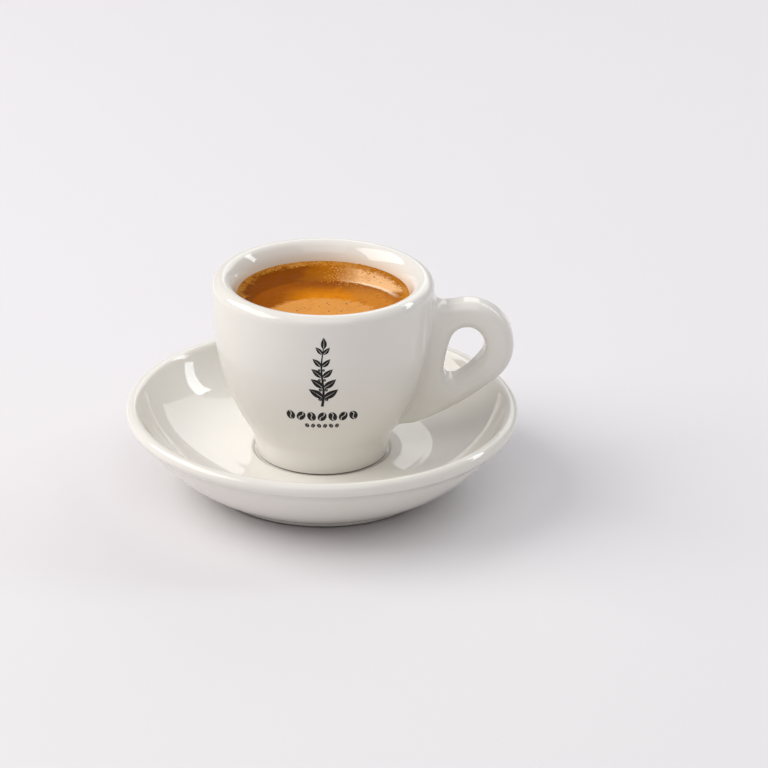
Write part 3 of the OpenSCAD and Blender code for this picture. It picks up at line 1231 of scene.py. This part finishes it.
# %% Draw and wrap the print
INK_T = 0.05                       # the ink stands this far out from the wall, and as far in
STEM_BASE, STEM_TOP = 37.4, 57.0
STEM_SWAY = 0.35
LEAF_PAIRS = 5
LEAF_L, LEAF_W = 5.0, 2.3
BEAN_TILT = 0.35
BEAN_ROWS = (                      # height, count, pitch, width and height of a bean
    (33.6, 7, 3.1, 2.5, 3.3),
    (30.1, 6, 1.75, 1.15, 1.6),
)
INK_DARK, INK_LIGHT = (0.008, 0.008, 0.009, 1.0), (0.022, 0.02, 0.02, 1.0)


class InkSheet:
    """Collects thin patches of ink and wraps them onto the cup's wall."""

    def __init__(self):
        self.points, self.faces = [], []

    def wrap(self, across, up, lift):
        """A place on the wall, this far across from the front and at this height."""
        radius = outer_radius(up)
        angle = across / radius
        reach = radius + lift
        return np.stack([reach * np.sin(angle), -reach * np.cos(angle), up], axis=-1)

    def patch(self, grid):
        """Adds a closed patch over a grid of flat points, [rows, columns, (across, up)]."""
        rows, columns = grid.shape[:2]
        first = len(self.points)
        for lift in (-INK_T, INK_T):
            self.points += self.wrap(grid[..., 0], grid[..., 1], lift).reshape(-1, 3).tolist()
        under = first + np.arange(rows * columns).reshape(rows, columns)
        over = under + rows * columns

        def cell(sheet, r, c):
            return [sheet[r, c], sheet[r, c + 1], sheet[r + 1, c + 1], sheet[r + 1, c]]

        for r in range(rows - 1):
            for c in range(columns - 1):
                self.faces += [cell(over, r, c), cell(under, r, c)[::-1]]
        border = [(0, c) for c in range(columns - 1)]
        border += [(r, columns - 1) for r in range(rows - 1)]
        border += [(rows - 1, c) for c in range(columns - 1, 0, -1)]
        border += [(r, 0) for r in range(rows - 1, 0, -1)]
        for here, there in zip(border, border[1:] + border[:1]):
            self.faces.append([under[here], under[there], over[there], over[here]])

    def band(self, left, right, columns=5):
        """Adds a patch between two lines with as many points each."""
        share = np.linspace(0.0, 1.0, columns)[None, :, None]
        self.patch(left[:, None] * (1 - share) + right[:, None] * share)


def turned_by(points, angle, centre):
    """Flat points turned anticlockwise by an angle and moved to a centre."""
    c, s = math.cos(angle), math.sin(angle)
    return points @ np.array([[c, s], [-s, c]]) + np.array(centre)


def leaf(sheet, base, length, width, angle):
    """A pointed leaf that grows from its base, split by its midrib."""
    t = np.linspace(0.0, 1.0, 15)
    swell = width / 2 * np.sin(np.pi * t**0.8) ** 0.9
    bend = 0.12 * length * t * (1 - t)
    rib = 0.07 * (1 - t) + 0.02
    for side in (-1, 1):
        inner = np.stack([side * np.minimum(rib, swell) + bend, length * t], axis=1)
        outer = np.stack([side * np.maximum(swell, rib + 0.02) + bend, length * t], axis=1)
        lines = [turned_by(line, angle, base) for line in (inner, outer)]
        sheet.band(*(lines if side > 0 else lines[::-1]))


def bean(sheet, centre, width, height, angle=0.0):
    """A coffee bean: an oval with an S-shaped cleft."""
    t = np.linspace(-1.0, 1.0, 17)
    half = width / 2 * np.sqrt(np.maximum(1 - t * t, 0.0))
    cleft = 0.16 * width * np.sin(np.pi * t) * np.sqrt(np.maximum(1 - t * t, 0.0))
    gap = 0.055 * width
    for side in (-1, 1):
        inner = np.stack([cleft + side * np.minimum(gap, half), height / 2 * t], axis=1)
        outer = np.stack([side * np.maximum(half, gap + 0.01), height / 2 * t], axis=1)
        lines = [turned_by(line, angle, centre) for line in (inner, outer)]
        sheet.band(*(lines if side > 0 else lines[::-1]))


def draw_print():
    """The print as one mesh: a stem with leaves and berries in pairs, over rows of beans."""
    sheet = InkSheet()
    t = np.linspace(0.0, 1.0, 40)
    sway = STEM_SWAY * np.sin(2.2 * np.pi * t)
    stem = np.stack([sway, STEM_BASE + (STEM_TOP - STEM_BASE) * t], axis=1)
    thick = (0.42 - 0.27 * t)[:, None] * [1.0, 0.0]
    sheet.band(stem - thick, stem + thick, columns=3)
    leaf(sheet, stem[-1] - [0, 0.3], 3.6, 1.7, 0.0)
    for k in range(LEAF_PAIRS):
        share = k / (LEAF_PAIRS - 1)
        base = stem[int(6 + 29 * share)]
        size = 1.0 - 0.42 * share
        lean = 0.95 - 0.25 * share
        for side in (-1, 1):
            leaf(sheet, base + [side * 0.15, 0.0], LEAF_L * size, LEAF_W * size, -side * lean)
            berry = base + [side * 0.95 * size, 2.15 * size - 2.6]
            if k < LEAF_PAIRS - 1:
                bean(sheet, berry, 1.05 * size, 1.2 * size)
    for up, count, pitch, width, height in BEAN_ROWS:
        for k in range(count):
            bean(sheet, ((k - (count - 1) / 2) * pitch, up), width, height, BEAN_TILT * (-1) ** k)
    mesh = bpy.data.meshes.new("cup_print")
    faces = [[int(i) for i in face] for face in sheet.faces]
    mesh.from_pydata((np.array(sheet.points) * MM).tolist(), [], faces)
    return mesh


def make_ink():
    """Fired ceramic ink: nearly black, a little glossy, thinner in places."""
    material, board = new_material("fired_ink")
    place = board.node("ShaderNodeTexCoord", out="Object")
    cover = board.noise(place, 0.5, detail=3.0, roughness=0.7)
    colour = board.mix(cover.ramp(0.35, 0.8), INK_DARK, INK_LIGHT)
    close_material(board, {"Base Color": colour, "Roughness": 0.22 + cover * 0.15, "IOR": 1.3})
    return material


print_mesh = draw_print()
print_mesh.materials.append(make_ink())
print_piece = bpy.data.objects.new("cup_print", print_mesh)
bpy.context.scene.collection.objects.link(print_piece)
print("print faces:", len(print_mesh.polygons), "volume", round(signed_volume(print_mesh), 3), "mm3")

# %% [markdown]
# ## Floor and light
# A pale sheet of paper under large soft lights gives the calm look of a product picture. The key
# light hangs at the left, so the shadow falls softly to the right. An overhead light in front and a
# weak fill at the right open the shadows. Glaze shows itself mostly by what it mirrors, so two more
# panels are there to be mirrored: a slanted strip at the right, for short crisp marks, and a broader
# one behind, which shines in the floor of the saucer.

# %% Lay the floor
PAPER_COLOUR = (0.785, 0.76, 0.782, 1.0)
PAPER_SHADE = (0.775, 0.755, 0.77, 1.0)
CLOUDS_APART = 420.0               # the paper's two tones change over this many millimetres
FLOOR_HALF = 4.0                   # in metres


def make_floor():
    """A flat sheet of paper, far larger than the picture."""
    material, board = new_material("paper")
    place = board.node("ShaderNodeTexCoord", out="Object")
    tone = board.noise(place, CLOUDS_APART, detail=2.0)
    colour = board.mix(tone.ramp(0.3, 0.7), PAPER_COLOUR, PAPER_SHADE)
    close_material(board, {"Base Color": colour, "Roughness": 0.7, "IOR": 1.35})
    mesh = bpy.data.meshes.new("floor")
    corners = [(-1, -1, 0), (1, -1, 0), (1, 1, 0), (-1, 1, 0)]
    mesh.from_pydata((np.array(corners) * FLOOR_HALF).tolist(), [], [(0, 1, 2, 3)])
    mesh.materials.append(material)
    floor = bpy.data.objects.new("floor", mesh)
    bpy.context.scene.collection.objects.link(floor)
    return floor


floor = make_floor()
print("floor:", 2 * FLOOR_HALF, "metres wide")

# %% Hang the lights
AIM = np.array([0.0, 0.0, 0.03])


def bearing(turn, height):
    """A direction: the turn about Z from +X and the height above the floor, both in degrees."""
    return np.append(math.cos(math.radians(height)) * toward(turn), math.sin(math.radians(height)))


def hang_light(name, way, distance, size, power, colour=(1.0, 1.0, 1.0), roll=0.0):
    """An area light that looks at the cup; size is (across, up) in metres, roll is in degrees."""
    data = bpy.data.lights.new(name, "AREA")
    data.shape = "RECTANGLE"
    data.size, data.size_y = size
    data.energy = power
    data.color = colour
    light = bpy.data.objects.new(name, data)
    light.location = AIM + way * distance
    upright = Euler((math.pi / 2 - math.asin(way[2]), 0.0, math.atan2(way[0], -way[1])))
    rolled = upright.to_matrix() @ Matrix.Rotation(math.radians(roll), 3, "Z")
    light.rotation_euler = rolled.to_euler()
    bpy.context.scene.collection.objects.link(light)


WARM_WHITE = (1.0, 0.985, 0.965)
COOL_WHITE = (0.90, 0.97, 1.0)
SKY_COLOUR, SKY_STRENGTH = (0.975, 0.965, 0.985, 1.0), 0.38
hang_light("key", bearing(178.0, 41.0), 1.5, (1.5, 0.9), 18.5, WARM_WHITE)
hang_light("overhead", bearing(270.0, 60.0), 1.5, (1.2, 1.2), 4.4)
hang_light("fill", bearing(0.0, 35.0), 1.5, (1.6, 1.2), 0.9)
hang_light("strip", bearing(27.5, 37.0), 1.3, (0.92, 0.15), 2.8, COOL_WHITE, roll=34.0)
hang_light("back", bearing(71.0, 32.0), 1.5, (0.98, 0.68), 2.6)

world = bpy.data.worlds.new("studio")
world.use_nodes = True
world.node_tree.nodes.clear()
sky = Board(world.node_tree)
sky_light = sky.node("ShaderNodeBackground", {}, {"Color": SKY_COLOUR, "Strength": SKY_STRENGTH})
sky.node("ShaderNodeOutputWorld", {}, {"Surface": sky_light})
bpy.context.scene.world = world

# %% [markdown]
# ## Hand over to the frame
# Everything rides on the one body of the object. The three detailed pieces stand for the packed
# solids; the froth, the pinholes and the print are extra.

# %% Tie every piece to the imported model
for piece, slot, node in (
    (saucer_piece, "porcelain", "saucer"),
    (cup_piece, "porcelain", "cup"),
    (coffee_piece, "espresso", "espresso"),
    (froth_piece, "espresso", None),
    (pinhole_piece, "espresso", None),
    (print_piece, "print", None),
):
    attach(piece, "root")
    if node:
        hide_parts(node)
